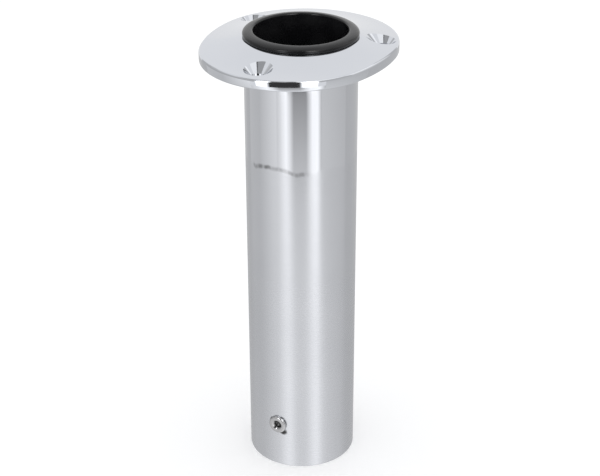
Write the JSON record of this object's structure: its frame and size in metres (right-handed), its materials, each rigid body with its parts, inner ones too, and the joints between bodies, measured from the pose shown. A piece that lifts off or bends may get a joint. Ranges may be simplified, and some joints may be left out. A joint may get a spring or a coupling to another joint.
{
  "type": "flush-mount rod holder",
  "caption": "Straight steel tube welded under an egg-shaped, countersunk flange, with a lipped black liner and a cross bolt that stops the rod butt turning.",
  "frame": {"origin": "on the tube's axis, in the plane of the flange's mounting face", "axes": "+Z along the tube's axis, out of the rod socket; -Y towards the flange's long end, the first screw hole and the cross bolt's head; x = 0 is the mirror plane"},
  "size_m": [0.0836, 0.0951, 0.2147],
  "materials": {
    "polished_steel": "mirror-polished stainless steel",
    "tube_steel": "satin stainless tube, mirror-polished for the upper quarter",
    "weld_metal": "ground weld metal",
    "black_liner": "soft satin black vinyl",
    "fastener_steel": "bright turned stainless steel",
    "white_nylon": "natural nylon"
  },
  "bodies": {
    "holder": {"flange": "polished_steel", "tube": "tube_steel", "flange_weld": "weld_metal"},
    "liner": {"liner": "black_liner"},
    "bolt": {"cross_bolt": "fastener_steel"},
    "nut": {"lock_nut": "fastener_steel", "nut_insert": "white_nylon", "bolt_washer": "fastener_steel"}
  },
  "joints": [
    {"name": "liner_pull", "type": "slide", "parent": "holder", "child": "liner", "axis": [0, 0, 1], "range_m": [0, 0.19]},
    {"name": "bolt_draw", "type": "slide", "parent": "holder", "child": "bolt", "axis": [0, -1, 0], "range_m": [0, 0.065]},
    {"name": "nut_off", "type": "slide", "parent": "holder", "child": "nut", "axis": [0, 1, 0], "range_m": [0, 0.02]}
  ]
}
